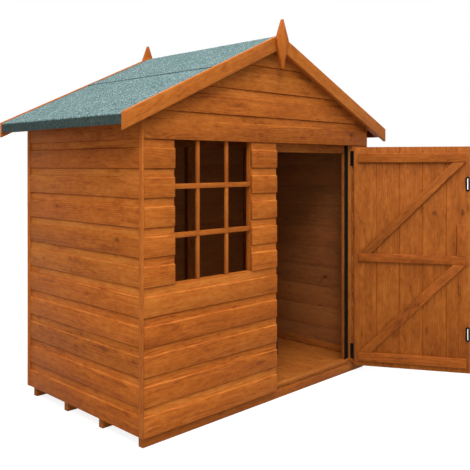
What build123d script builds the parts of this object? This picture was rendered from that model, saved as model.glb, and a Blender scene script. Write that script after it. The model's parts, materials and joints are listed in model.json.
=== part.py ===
"""Small timber garden shed with an apex roof, a 3 ft by 5 ft footprint and a ledged door.

Millimetres. +Z up, +X to the right seen from the front, +Y to the back: the gable with the
window and the doorway faces -Y. The origin is on the ground, at the middle of the underside of
the front bearer. The pieces are drawn about the middle of the walls, and moved there at the end.
"""
import math
import os

from build123d import *

os.makedirs("parts", exist_ok=True)

# Overall sizes, over the outer faces of the cladding
width = 1530.0
depth = 915.0
pitch = math.radians(24.7)
barge_eaves_z = 1309.0
side_overhang = 122.0
end_overhang = 42.0

# Cladding
clad_thick = 12.0
board_cover = 117.0
wall_boards = 10
sill_boards = 5
clad_bottom = 43.0
strip_proud = 3.0
strip_front = 6.0
strip_side = 22.0

# Framing timber
stud_deep = 28.0
stud_wide = 38.0
side_studs = 2
back_studs = 4

# Floor and bearers
bearer_tall = 42.0
bearer_wide = 28.0
bearer_count = 4
bearer_end_inset = 12.0
last_bearer_inset = 22.0
floor_thick = 12.0
floor_setback = 17.0

# Window, in the left half of the front, with the framing flush round its opening
window_left = 163.0
window_wide = 453.0

# Doorway
door_left = 786.0
doorway_wide = 614.0
stop_wide = 32.0
stop_front = 35.0
stop_thick = 19.0
head_stop_tall = 43.0
threshold_thick = 12.0
seal_thick = 2.0

# Door leaf, measured with the door shut
door_wide = 588.0
door_thick = 12.0
door_top_gap = 10.0
ledge_thick = 16.0
arris = 2.5
ledge_hinge_inset = 24.0
ledge_free_inset = 21.0
top_ledge_z = 1121.0
top_ledge_tall = 49.0
middle_ledge_z = 597.0
middle_ledge_tall = 45.0
bottom_ledge_z = 71.0
bottom_ledge_tall = 48.0
brace_foot_near = 29.0
brace_foot_far = 93.0
brace_head_far = 565.0
block_near = 521.0
block_wide = 45.0
block_tall = 163.0
rest_opening = 120.0

# Hinges, with a pin outside the face of the door
hinge_tall = 80.0
hinge_zs = (72.0, 1103.0)
leaf_thick = 2.0
leaf_deep = 17.0
knuckle_radius = 4.0
pin_radius = 2.0
pin_clearance = 0.3
knuckle_gap = 0.4
knuckle_out = 4.0
leaf_corner = 3.0
screw_hole = 2.2
screw_head = 4.0
screw_heights = (12.0, 40.0, 68.0)

# Pull handle and magnetic catches
handle_z = 668.0
handle_long = 110.0
handle_reach = 30.0
handle_bar = 8.0
foot_wide = 20.0
foot_long = 26.0
foot_thick = 4.0
catch_zs = (205.0, 973.0)
catch_tall = 75.0
catch_wide = 22.0
catch_plate_thick = 3.0
catch_gap = 5.0
catch_edge_inset = 2.0

# Roof
roof_board_thick = 12.0
felt_thick = 2.5
barge_above_board = 8.0
felt_fold = 43.5
lap_from_ridge = 450.0
lap_wide = 75.0
eaves_batten = 28.0
purlin_wide = 28.0
purlin_tall = 38.0
ridge_beam_tall = 60.0
barge_wide = 64.0
barge_thick = 15.0
finial_tip_above = 76.0
finial_wide_below = 30.0
finial_foot_below = 175.0
finial_wide = 84.0
finial_thick = 14.0
finial_tip_round = 5.0
finial_side_round = 8.0

# Places worked out from the sizes above
half_w = width / 2
half_d = depth / 2
slope = math.tan(pitch)
front = -half_d
gable_line = clad_bottom + wall_boards * board_cover
window_sill_line = clad_bottom + sill_boards * board_cover
floor_z = bearer_tall
floor_top = floor_z + floor_thick
post_foot = floor_top + stud_wide
frame_in = clad_thick + stud_deep
window_right = window_left + window_wide
door_right = door_left + doorway_wide
barge_apex_z = barge_eaves_z + slope * (half_w + side_overhang)
board_apex_z = barge_apex_z - barge_above_board
under_apex_z = board_apex_z - roof_board_thick / math.cos(pitch)
felt_rise = felt_thick / math.cos(pitch)
eaves_x = half_w + side_overhang
board_end_x = eaves_x - 2 * felt_thick
verge_y = half_d + end_overhang - barge_thick
door_bottom = clad_bottom
door_top = gable_line - door_top_gap
door_hinge_x = door_right - 2 * knuckle_radius - half_w
axis_x = door_right - knuckle_radius - half_w
axis_y = front - knuckle_out
first_bearer_y = front + floor_setback


def from_left(a):
    """Distance from the front left corner to X in the model's frame."""
    return a - half_w


def block(x0, x1, y0, y1, z0, z1):
    """A straight piece between two corners."""
    shape = Box(x1 - x0, y1 - y0, z1 - z0, align=(Align.MIN, Align.MIN, Align.MIN))
    return Pos(x0, y0, z0) * shape


def upright_plate(points, y0, y1):
    """An outline in the XZ plane, given thickness along Y."""
    outline = make_face(Polyline(*[(x, y0, z) for x, z in points], close=True))
    return extrude(outline, amount=y1 - y0, dir=(0, 1, 0))


def post_of_section(points, z0, z1):
    """An outline in the XY plane, raised along Z."""
    outline = make_face(Polyline(*[(x, y, z0) for x, y in points], close=True))
    return extrude(outline, amount=z1 - z0, dir=(0, 0, 1))


def under_roof(x):
    """Height of the underside of the roof boards at X."""
    return under_apex_z - slope * abs(x)


def mirrored(shape):
    """The same piece on the other side of the middle plane of the front."""
    return mirror(shape, about=Plane.YZ)


def turned_back(shape):
    """The same piece on the back wall: mirrored front to back."""
    return mirror(shape, about=Plane.XZ)


def eased(edges):
    """The piece that these long arrises belong to, with the sharp corners taken off."""
    return chamfer(edges, arris)


def make_floor():
    """Four bearers from side to side and the floor on them."""
    first = first_bearer_y
    last = half_d - floor_setback - last_bearer_inset - bearer_wide
    end_x = half_w - bearer_end_inset
    bearers = []
    for i in range(bearer_count):
        y = first + (last - first) * i / (bearer_count - 1)
        bearers.append(block(-end_x, end_x, y, y + bearer_wide, 0, bearer_tall))
    inner_x = half_w - clad_thick
    inner_y = half_d - floor_setback
    floor = block(-inner_x, inner_x, -inner_y, inner_y, floor_z, floor_top)
    return {"bearers": bearers, "floor_boards": [floor]}


def make_cladding():
    """Horizontal cladding: the front in five panels round its openings, and three plain walls."""
    y0 = front
    y1 = front + clad_thick
    left_end = from_left(strip_front)
    right_end = -left_end
    gable = [(left_end, gable_line), (right_end, gable_line), (right_end, under_roof(right_end)),
             (0, under_apex_z), (left_end, under_roof(left_end))]
    back = [(left_end, clad_bottom), (right_end, clad_bottom), (right_end, under_roof(right_end)),
            (0, under_apex_z), (left_end, under_roof(left_end))]
    inner_x = half_w - clad_thick
    side = [(-half_w, clad_bottom), (-inner_x, clad_bottom), (-inner_x, under_roof(inner_x)),
            (-half_w, under_roof(half_w))]
    left = upright_plate(side, front + strip_side, half_d - strip_side)
    return {
        "front_cladding_below_window": [
            block(left_end, from_left(door_left), y0, y1, clad_bottom, window_sill_line)],
        "front_cladding_left": [
            block(left_end, from_left(window_left), y0, y1, window_sill_line, gable_line)],
        "front_cladding_pier": [
            block(from_left(window_right), from_left(door_left), y0, y1, window_sill_line, gable_line)],
        "front_cladding_right": [block(from_left(door_right), right_end, y0, y1, clad_bottom, gable_line)],
        "front_gable_cladding": [upright_plate(gable, y0, y1)],
        "back_cladding": [upright_plate(back, -y1, -y0)],
        "left_cladding": [left],
        "right_cladding": [mirrored(left)],
    }


def corner_strip():
    """Rebated cover strip at the front left corner, with its top cut to the roof."""
    x_out = -half_w - strip_proud
    x_front = -half_w + strip_front
    x_in = -half_w + clad_thick
    section = [(x_out, front), (x_front, front), (x_front, front + clad_thick),
               (x_in, front + clad_thick), (x_in, front + strip_side), (x_out, front + strip_side)]
    strip = post_of_section(section, clad_bottom, under_roof(0))
    above = [(x_out - 1, under_roof(x_out - 1)), (x_in + 1, under_roof(x_in + 1)),
             (x_in + 1, under_apex_z + 1), (x_out - 1, under_apex_z + 1)]
    return strip - upright_plate(above, front - 1, front + strip_side + 1)


def make_corner_strips():
    left = corner_strip()
    right = mirrored(left)
    return {"corner_strips": [left, right, turned_back(left), turned_back(right)]}


def make_side_frames():
    """Rails and studs inside each side wall, between the front and back frames."""
    x0 = -half_w + clad_thick
    x1 = x0 + stud_deep
    y0 = front + frame_in
    y1 = -y0
    rail_under = under_roof(x0) - stud_wide
    top = [(x0, rail_under), (x1, rail_under), (x1, under_roof(x1)), (x0, under_roof(x0))]
    bottom_rail = block(x0, x1, y0, y1, floor_top, post_foot)
    rails = [bottom_rail, upright_plate(top, y0, y1)]
    studs = []
    for i in range(side_studs):
        y = y0 + (y1 - y0 - stud_wide) * i / (side_studs - 1)
        studs.append(block(x0, x1, y, y + stud_wide, post_foot, rail_under))
    return {
        "side_wall_rails": rails + [mirrored(s) for s in rails],
        "side_wall_studs": studs + [mirrored(s) for s in studs],
    }


def make_front_frame():
    """Rails, studs, door posts and the framing of the window inside the front wall."""
    y0 = front + clad_thick
    y1 = y0 + stud_deep
    x_end = half_w - clad_thick
    post_left = from_left(door_left) - stud_wide
    post_right = from_left(door_right)
    jamb_left = from_left(window_left) - stud_wide
    jamb_right = from_left(window_right)
    rail_top = gable_line + stud_wide
    top_rails = [block(-x_end, jamb_left, y0, y1, gable_line, rail_top),
                 block(jamb_right + stud_wide, x_end, y0, y1, gable_line, rail_top)]
    bottom_rails = [block(-x_end, post_left, y0, y1, floor_top, post_foot),
                    block(post_right + stud_wide, x_end, y0, y1, floor_top, post_foot)]
    studs = [block(x, x + stud_wide, y0, y1, post_foot, gable_line)
             for x in (-x_end, x_end - stud_wide)]
    posts = [block(x, x + stud_wide, y0, y1, floor_top, gable_line) for x in (post_left, post_right)]
    jambs = [block(x, x + stud_wide, y0, y1, post_foot, rail_top) for x in (jamb_left, jamb_right)]
    sill_and_head = [block(jamb_left + stud_wide, jamb_right, y0, y1, z, z + stud_wide)
                     for z in (window_sill_line - stud_wide, gable_line)]
    return {
        "front_wall_rails": bottom_rails + top_rails,
        "front_wall_studs": studs,
        "door_posts": posts,
        "window_jambs": jambs,
        "window_sill_and_head": sill_and_head,
    }


def make_back_frame():
    """Rails and studs inside the back wall."""
    y1 = half_d - clad_thick
    y0 = y1 - stud_deep
    x_end = half_w - clad_thick
    rails = [block(-x_end, x_end, y0, y1, floor_top, post_foot),
             block(-x_end, x_end, y0, y1, gable_line, gable_line + stud_wide)]
    studs = []
    for i in range(back_studs):
        x = -x_end + (2 * x_end - stud_wide) * i / (back_studs - 1)
        studs.append(block(x, x + stud_wide, y0, y1, post_foot, gable_line))
    return {"back_wall_rails": rails, "back_wall_studs": studs}


def make_doorway():
    """Stops the door shuts against, the seal on the hinge side, and the threshold."""
    x0 = from_left(door_left)
    x1 = from_left(door_right)
    y0 = front + stop_front
    y1 = y0 + stop_thick
    foot = floor_top + threshold_thick
    stops = [block(x0, x0 + stop_wide, y0, y1, foot, gable_line),
             block(x1 - stop_wide, x1, y0, y1, foot, gable_line)]
    head = block(x0 + stop_wide, x1 - stop_wide, y0, y1, gable_line - head_stop_tall, gable_line)
    seal = block(x1 - stop_wide, x1, y0 - seal_thick, y0, foot, gable_line)
    threshold = block(x0, x1, front + floor_setback, y1, floor_top, foot)
    return {
        "door_stops": stops,
        "door_head_stop": [head],
        "door_seal_strip": [seal],
        "door_threshold": [threshold],
    }


def make_gable_frames():
    """Rafters in the two gables, under the roof boards, on short studs from the top rail."""
    y0 = front + clad_thick
    y1 = y0 + stud_deep
    drop = stud_wide / math.cos(pitch)
    x_out = half_w - clad_thick
    outline = [(0, under_apex_z), (-x_out, under_roof(x_out)), (-x_out, under_roof(x_out) - drop),
               (0, under_apex_z - drop)]
    rafter = upright_plate(outline, y0, y1)
    rafters = [rafter, turned_back(rafter)]
    foot = gable_line + stud_wide
    x_in = x_out - stud_wide
    end = [(-x_out, foot), (-x_in, foot), (-x_in, under_roof(x_in) - drop),
           (-x_out, under_roof(x_out) - drop)]
    end_stud = upright_plate(end, y0, y1)
    half = stud_wide / 2
    middle = [(-half, foot), (half, foot), (half, under_roof(half) - drop), (0, under_apex_z - drop),
              (-half, under_roof(half) - drop)]
    studs = [end_stud, mirrored(end_stud), upright_plate(middle, y0, y1)]
    return {
        "gable_rafters_left": rafters,
        "gable_rafters_right": [mirrored(s) for s in rafters],
        "gable_studs": studs + [turned_back(s) for s in studs],
    }


def make_roof_timbers():
    """Ridge beam, a purlin on each slope, and the battens round the edge of each roof panel."""
    y1 = half_d - frame_in
    half_beam = purlin_wide / 2
    beam = [(0, under_apex_z), (-half_beam, under_roof(half_beam)),
            (-half_beam, under_apex_z - ridge_beam_tall), (half_beam, under_apex_z - ridge_beam_tall),
            (half_beam, under_roof(half_beam))]
    purlin_x = half_w / 2
    purlin_out = purlin_x + purlin_wide
    purlin = [(-purlin_x, under_roof(purlin_x)), (-purlin_out, under_roof(purlin_out)),
              (-purlin_out, under_roof(purlin_out) - purlin_tall),
              (-purlin_x, under_roof(purlin_x) - purlin_tall)]
    purlin_left = upright_plate(purlin, -y1, y1)
    batten_in = board_end_x - eaves_batten
    batten_foot = board_apex_z + felt_rise - slope * board_end_x - felt_fold
    eaves = [(-board_end_x, under_roof(board_end_x)), (-batten_in, under_roof(batten_in)),
             (-batten_in, batten_foot), (-board_end_x, batten_foot)]
    eaves_left = upright_plate(eaves, -verge_y, verge_y)
    drop = stud_wide / math.cos(pitch)
    verge = [(0, under_apex_z), (-batten_in, under_roof(batten_in)),
             (-batten_in, under_roof(batten_in) - drop), (0, under_apex_z - drop)]
    verge_left = upright_plate(verge, -verge_y, front)
    left = [verge_left, turned_back(verge_left)]
    return {
        "roof_ridge_beam": [upright_plate(beam, -y1, y1)],
        "roof_purlins": [purlin_left, mirrored(purlin_left)],
        "eaves_battens": [eaves_left, mirrored(eaves_left)],
        "verge_battens_left": left,
        "verge_battens_right": [mirrored(s) for s in left],
    }


def make_roof_skin():
    """Roof boards, a strip of felt folded down over each eaves, and a strip over the ridge."""
    def height(x, above):
        return board_apex_z + above - slope * x
    end = board_end_x
    boards = [(0, board_apex_z), (-end, height(end, 0)), (-end, under_roof(end)), (0, under_apex_z)]
    board_left = upright_plate(boards, -verge_y, verge_y)
    lap_x = lap_from_ridge * math.cos(pitch)
    top_x = lap_x - lap_wide * math.cos(pitch)
    edge = end + felt_thick
    fold_z = height(end, felt_rise) - felt_fold
    lower = [(-top_x, height(top_x, 0)), (-end, height(end, 0)), (-end, fold_z), (-edge, fold_z),
             (-edge, height(edge, felt_rise)), (-top_x, height(top_x, felt_rise))]
    lower_left = upright_plate(lower, -verge_y, verge_y)
    step = felt_thick
    half_cap = [(0, height(0, felt_rise)), (-top_x + step, height(top_x - step, felt_rise)),
                (-top_x, height(top_x, 2 * felt_rise)), (-lap_x, height(lap_x, 2 * felt_rise)),
                (-lap_x, height(lap_x, felt_rise)), (-top_x, height(top_x, felt_rise)),
                (-top_x, height(top_x, 0)), (0, height(0, 0))]
    outline = half_cap[:-1] + [(0, height(0, 0))] + [(-x, z) for x, z in reversed(half_cap[1:-1])]
    cap = upright_plate(outline, -verge_y, verge_y)
    return {
        "roof_boards_left": [board_left],
        "roof_boards_right": [mirrored(board_left)],
        "roof_felt_eaves": [lower_left, mirrored(lower_left)],
        "roof_felt_ridge": [cap],
    }


def make_bargeboards():
    """Sloping boards at the four verges, cut plumb at both ends, and the two finials."""
    drop = barge_wide / math.cos(pitch)
    end_z = barge_apex_z - slope * eaves_x
    outline = [(0, barge_apex_z), (-eaves_x, end_z), (-eaves_x, end_z - drop), (0, barge_apex_z - drop)]
    barge = upright_plate(outline, -verge_y - barge_thick, -verge_y)
    barge = eased(barge.edges().group_by(Axis.Y)[0].sort_by(SortBy.LENGTH)[-2:])
    wide_z = barge_apex_z - finial_wide_below
    lozenge = [(0, barge_apex_z + finial_tip_above), (-finial_wide / 2, wide_z),
               (0, barge_apex_z - finial_foot_below), (finial_wide / 2, wide_z)]
    finial = upright_plate(lozenge, -verge_y - barge_thick - finial_thick, -verge_y - barge_thick)
    corners = finial.edges().filter_by(Axis.Y).sort_by(Axis.Z)
    finial = fillet([corners[0], corners[-1]], finial_tip_round)
    finial = fillet(finial.edges().filter_by(Axis.Y).group_by(Axis.X)[0], finial_side_round)
    finial = fillet(finial.edges().filter_by(Axis.Y).group_by(Axis.X)[-1], finial_side_round)
    left = [barge, turned_back(barge)]
    return {
        "bargeboards_left": left,
        "bargeboards_right": [mirrored(s) for s in left],
        "finials": [finial, turned_back(finial)],
    }


def opened(shape):
    """A door piece turned from shut to where the door stands at rest."""
    return Pos(axis_x, axis_y, 0) * Rot(0, 0, rest_opening) * Pos(-axis_x, -axis_y, 0) * shape


def door_u(u):
    """X of a point on the shut door, at a distance from its hinge edge."""
    return door_hinge_x - u


def make_door():
    """Five upright boards held by three ledges and two braces, and a block for the handle."""
    back = front + door_thick
    inner = back + ledge_thick
    boards = block(door_u(door_wide), door_hinge_x, front, back, door_bottom, door_top)
    ledge_a = door_u(door_wide - ledge_free_inset)
    ledge_b = door_u(ledge_hinge_inset)
    ledges = [block(ledge_a, ledge_b, back, inner, z, z + tall)
              for z, tall in ((top_ledge_z, top_ledge_tall), (middle_ledge_z, middle_ledge_tall),
                              (bottom_ledge_z, bottom_ledge_tall))]
    ledges = [eased(s.edges().filter_by(Axis.X).group_by(Axis.Y)[-1]) for s in ledges]
    brace_width = brace_foot_far - brace_foot_near
    braces = []
    for z0, z1 in ((bottom_ledge_z + bottom_ledge_tall, middle_ledge_z),
                   (middle_ledge_z + middle_ledge_tall, top_ledge_z)):
        outline = [(door_u(brace_foot_near), z0), (door_u(brace_foot_far), z0),
                   (door_u(brace_head_far), z1), (door_u(brace_head_far - brace_width), z1)]
        brace = upright_plate(outline, back, inner)
        braces.append(eased(brace.edges().group_by(Axis.Y)[-1].sort_by(SortBy.LENGTH)[-2:]))
    block_foot = middle_ledge_z + middle_ledge_tall
    lock_block = block(door_u(block_near + block_wide), door_u(block_near), back, inner,
                       block_foot, block_foot + block_tall)
    lock_block = eased(lock_block.edges().filter_by(Axis.Z).group_by(Axis.Y)[-1])
    nodes = {
        "door_boards": [boards],
        "door_ledges": ledges,
        "door_braces": braces,
        "door_lock_block": [lock_block],
        "door_handle": [make_handle()],
        "door_catch_plates": make_catch_plates(),
        "door_hinge_leaves": [moving_leaf(z) for z in hinge_zs],
    }
    return {name: [opened(s) for s in solids] for name, solids in nodes.items()}


def make_handle():
    """Bow handle on the outside of the door, fixed over the block."""
    x = door_u(block_near + block_wide / 2)
    z0 = handle_z
    z1 = handle_z + handle_long
    feet = [block(x - foot_wide / 2, x + foot_wide / 2, front - foot_thick, front, z, z + foot_long)
            for z in (z0, z1 - foot_long)]
    z_low = z0 + foot_long - handle_bar / 2
    z_high = z1 - foot_long + handle_bar / 2
    y_grip = front - handle_reach + handle_bar / 2
    path = FilletPolyline((x, front - foot_thick / 2, z_low), (x, y_grip, z_low),
                          (x, y_grip, z_high), (x, front - foot_thick / 2, z_high),
                          radius=handle_bar)
    section = Plane(origin=(x, front - foot_thick / 2, z_low), z_dir=(0, -1, 0)) * Circle(handle_bar / 2)
    grip = sweep(section, path=path)
    return feet[0] + feet[1] + grip


def make_catch_plates():
    """Oval keeper plates on the inside of the door, at its free edge."""
    x = door_u(door_wide - catch_edge_inset - catch_wide / 2)
    y = front + door_thick
    plates = []
    for z in catch_zs:
        face = Plane(origin=(x, y, z + catch_tall / 2), x_dir=(0, 0, 1), z_dir=(0, 1, 0))
        outline = face * SlotOverall(catch_tall, catch_wide)
        plates.append(extrude(outline, amount=catch_plate_thick, dir=(0, 1, 0)))
    return plates


def make_magnets():
    """Magnetic catches on the stop that the free edge shuts against."""
    x0 = from_left(door_left) + stop_wide - catch_wide
    y0 = front + door_thick + catch_plate_thick + catch_gap
    return {"magnet_catches": [block(x0, x0 + catch_wide, y0, front + stop_front, z, z + catch_tall)
                               for z in catch_zs]}


def knuckle(z0, z1, bore):
    """A length of hinge barrel on the pin's axis."""
    barrel = Pos(axis_x, axis_y, z0) * Cylinder(
        knuckle_radius, z1 - z0, align=(Align.CENTER, Align.CENTER, Align.MIN))
    if bore:
        barrel -= Pos(axis_x, axis_y, z0) * Cylinder(
            bore, z1 - z0, align=(Align.CENTER, Align.CENTER, Align.MIN))
    return barrel


def leaf_plate(x, face, deep, z0):
    """Flat of a hinge leaf from X, with countersunk holes that open towards +X or -X."""
    leaf = block(x, x + leaf_thick, front, front + deep, z0, z0 + hinge_tall)
    leaf = fillet(leaf.edges().filter_by(Axis.X).group_by(Axis.Y)[-1], leaf_corner)
    sink = screw_head - screw_hole
    for up in screw_heights:
        at = Pos(x + leaf_thick / 2, front + deep / 2, z0 + up) * Rot(0, 90 * face, 0)
        leaf -= at * Cylinder(screw_hole, 2 * leaf_thick)
        leaf -= at * Pos(0, 0, leaf_thick / 2 - sink / 2) * Cone(screw_hole, screw_head, sink)
    return leaf


def fixed_leaf(z0):
    """Leaf on the door post with the two end knuckles and the pin."""
    third = hinge_tall / 3
    x1 = from_left(door_right)
    shape = leaf_plate(x1 - leaf_thick, -1, leaf_deep, z0)
    for low in (z0, z0 + 2 * third):
        shape += knuckle(low, low + third, 0)
        shape += block(x1 - leaf_thick, x1, axis_y, front, low, low + third)
    pin = Pos(axis_x, axis_y, z0) * Cylinder(
        pin_radius, hinge_tall, align=(Align.CENTER, Align.CENTER, Align.MIN))
    return shape + pin


def moving_leaf(z0):
    """Leaf on the edge of the door with the middle knuckle, bored for the pin."""
    third = hinge_tall / 3
    low = z0 + third + knuckle_gap
    high = z0 + 2 * third - knuckle_gap
    leaf = leaf_plate(door_hinge_x, 1, door_thick, z0)
    web = block(door_hinge_x, door_hinge_x + leaf_thick, axis_y, front, low, high)
    shape = leaf + web + knuckle(low, high, 0)
    bore = Pos(axis_x, axis_y, low) * Cylinder(
        pin_radius + pin_clearance, high - low, align=(Align.CENTER, Align.CENTER, Align.MIN))
    return shape - bore


def make_hinges():
    return {"post_hinge_leaves": [fixed_leaf(z) for z in hinge_zs]}


def write_nodes(nodes):
    """One STEP file for each node, with its solids side by side."""
    to_origin = Pos(0, -first_bearer_y - bearer_wide / 2, 0)
    for name, solids in nodes.items():
        loose = []
        for shape in solids:
            loose.extend((to_origin * shape).solids())
        whole = loose[0] if len(loose) == 1 else Compound(children=loose)
        whole.label = name
        export_step(whole, f"parts/{name}.step")


write_nodes(make_floor())
write_nodes(make_cladding())
write_nodes(make_corner_strips())
write_nodes(make_front_frame())
write_nodes(make_side_frames())
write_nodes(make_back_frame())
write_nodes(make_doorway())
write_nodes(make_magnets())
write_nodes(make_hinges())
write_nodes(make_gable_frames())
write_nodes(make_roof_timbers())
write_nodes(make_roof_skin())
write_nodes(make_bargeboards())
write_nodes(make_door())
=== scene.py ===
"""Looks of the small timber garden shed: boards, worked timber, felt, fastenings and finishes.

Metres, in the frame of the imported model: +Z up, +X to the right seen from the front, +Y to the
back, with the origin on the ground under the middle of the front bearer.
"""
import json
import math
import random
from functools import partialmethod

import bmesh
import bpy
import numpy as np
from mathutils import Matrix, Vector, noise


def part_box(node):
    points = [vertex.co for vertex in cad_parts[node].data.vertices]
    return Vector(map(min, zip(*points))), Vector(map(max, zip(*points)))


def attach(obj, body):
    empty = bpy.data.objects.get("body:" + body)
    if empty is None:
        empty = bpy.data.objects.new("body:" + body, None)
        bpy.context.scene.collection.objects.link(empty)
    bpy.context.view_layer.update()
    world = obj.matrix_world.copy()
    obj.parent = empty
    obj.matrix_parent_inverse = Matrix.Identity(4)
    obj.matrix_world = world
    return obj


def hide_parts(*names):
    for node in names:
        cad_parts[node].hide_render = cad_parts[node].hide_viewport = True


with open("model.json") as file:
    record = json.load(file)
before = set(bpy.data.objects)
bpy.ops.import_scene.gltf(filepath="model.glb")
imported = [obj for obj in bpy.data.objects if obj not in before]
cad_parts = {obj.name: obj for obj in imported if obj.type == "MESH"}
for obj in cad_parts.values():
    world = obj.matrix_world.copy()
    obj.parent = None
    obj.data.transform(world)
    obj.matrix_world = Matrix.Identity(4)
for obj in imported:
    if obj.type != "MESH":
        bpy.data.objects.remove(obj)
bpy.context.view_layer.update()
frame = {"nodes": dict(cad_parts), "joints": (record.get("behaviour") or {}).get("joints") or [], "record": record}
record = frame["record"]

# Sizes of the building that the boards are laid out to
half_width = 0.765
front_face = -0.031
back_face = 0.884
middle_y = (front_face + back_face) / 2
roof_pitch = math.radians(24.7)
roof_slope = math.tan(roof_pitch)
pitch_run, pitch_rise = math.cos(roof_pitch), math.sin(roof_pitch)
roof_under_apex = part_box("back_cladding")[1].z
clad_thick = 0.012
clad_foot = 0.043
board_cover = 0.117
cove_deep = 0.0062
cove_lip = 0.079
cove_curve = 0.0066
lap_height = 0.0095
gable_line = clad_foot + 10 * board_cover
sill_line = clad_foot + 5 * board_cover
strip_front = 0.006
strip_side = 0.022
half_stud = 0.019
stud_deep = 0.028
window_left = 0.163 - half_width
window_right = 0.616 - half_width
door_left = 0.786 - half_width
door_right = 1.400 - half_width
door_open = math.radians(120)
door_rows = 5
hinge_tall = 0.080
catch_tall = 0.075
felt_thick = 0.0025
lap_wide = 0.075
end_slack = 0.0016
out_of_reach = 9.0  # a cut so high that no board comes to it
door_pin = Vector(frame["joints"][0]["pos_m"])
to_front, to_back, to_left, to_right = (0, -1, 0), (0, 1, 0), (-1, 0, 0), (1, 0, 0)

node_body = {n: b for b, nodes in record["behaviour"]["bodies"].items() for n in nodes}
node_slot = {p["node"]: p["material_slot"] for p in record["subparts"]}


class Num:
    """A number in a node tree. Arithmetic on it adds the Math nodes."""

    def __init__(self, tree, socket):
        self.tree = tree
        self.socket = socket

    def math(self, operation, *others):
        node = self.tree.nodes.new("ShaderNodeMath")
        node.operation = operation
        for socket, value in zip(node.inputs, (self,) + others):
            plug(self.tree, value, socket)
        return Num(self.tree, node.outputs[0])

    __add__ = partialmethod(math, "ADD")
    __sub__ = partialmethod(math, "SUBTRACT")
    __mul__ = partialmethod(math, "MULTIPLY")
    __neg__ = partialmethod(math, "MULTIPLY", -1.0)
    __truediv__ = partialmethod(math, "DIVIDE")
    least = partialmethod(math, "MINIMUM")
    most = partialmethod(math, "MAXIMUM")

    def smooth(self, low, high, to_low=0.0, to_high=1.0):
        """Smooth step of this number from low to high."""
        node = self.tree.nodes.new("ShaderNodeMapRange")
        node.interpolation_type = "SMOOTHSTEP"
        for socket, value in zip(node.inputs, (self, low, high, to_low, to_high)):
            plug(self.tree, value, socket)
        return Num(self.tree, node.outputs[0])


def plug(tree, value, socket):
    """Link a number, a socket or a node's first output to an input, or give it a plain value."""
    if isinstance(value, Num):
        value = value.socket
    elif isinstance(value, bpy.types.Node):
        value = value.outputs[0]
    if isinstance(value, bpy.types.NodeSocket):
        tree.links.new(value, socket)
    else:
        socket.default_value = value


class Graph:
    """Short ways to add and join the nodes of one tree."""

    def __init__(self, tree):
        self.tree = tree

    def add(self, kind, inputs=(), **settings):
        node = self.tree.nodes.new(kind)
        for key, value in settings.items():
            setattr(node, key, value)
        for name, value in dict(inputs).items():
            plug(self.tree, value, node.inputs[name])
        return node

    def num(self, socket):
        return Num(self.tree, socket)

    def split(self, vector):
        """The three numbers of a vector."""
        node = self.add("ShaderNodeSeparateXYZ", {0: vector})
        return [self.num(s) for s in node.outputs]

    def vector(self, x, y, z):
        return self.add("ShaderNodeCombineXYZ", {0: x, 1: y, 2: z}).outputs[0]

    def noise(self, vector, scale=1.0, detail=2.0, roughness=0.5):
        return self.num(self.add("ShaderNodeTexNoise", {
            "Vector": vector, "Scale": scale, "Detail": detail, "Roughness": roughness}).outputs[0])

    def kept(self, name, output="Fac"):
        """Socket of a value that a piece keeps for its points or its faces."""
        return self.add("ShaderNodeAttribute", attribute_name=name).outputs[output]

    def ramp(self, factor, stops):
        """A colour ramp over (place, colour) stops."""
        node = self.add("ShaderNodeValToRGB", {0: factor})
        marks = node.color_ramp.elements
        while len(marks) < len(stops):
            marks.new(0.5)
        for mark, (place, colour) in zip(marks, stops):
            mark.position = place
            mark.color = (*colour, 1)
        return node.outputs[0]

    def mix(self, factor, a, b, blend="MIX"):
        node = self.tree.nodes.new("ShaderNodeMix")
        node.data_type = "RGBA"
        node.blend_type = blend
        plug(self.tree, factor, node.inputs[0])
        for socket, colour in ((node.inputs[6], a), (node.inputs[7], b)):
            plug(self.tree, (*colour, 1) if isinstance(colour, tuple) else colour, socket)
        return node.outputs[2]


def srgb(red, green, blue):
    """Linear colour of a shade given as 0 to 255 on screen."""
    return tuple((c / 255 / 12.92) if c <= 10 else ((c / 255 + 0.055) / 1.055) ** 2.4
                 for c in (red, green, blue))


# Materials

def new_material(name):
    """A material with a bare Principled shader, its graph and that shader."""
    material = bpy.data.materials.new(name)
    material.use_nodes = True
    return material, Graph(material.node_tree), material.node_tree.nodes["Principled BSDF"]


def set_surface(graph, shader, colour, roughness, specular, relief, strength, depth):
    """Give a shader its colour, its roughness, its shine and the bump of its relief."""
    bump = graph.add("ShaderNodeBump", {"Strength": strength, "Distance": depth, "Height": relief})
    for name, value in (("Base Color", colour), ("Roughness", roughness),
                        ("Specular IOR Level", specular), ("Normal", bump)):
        plug(graph.tree, value, shader.inputs[name])


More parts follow.
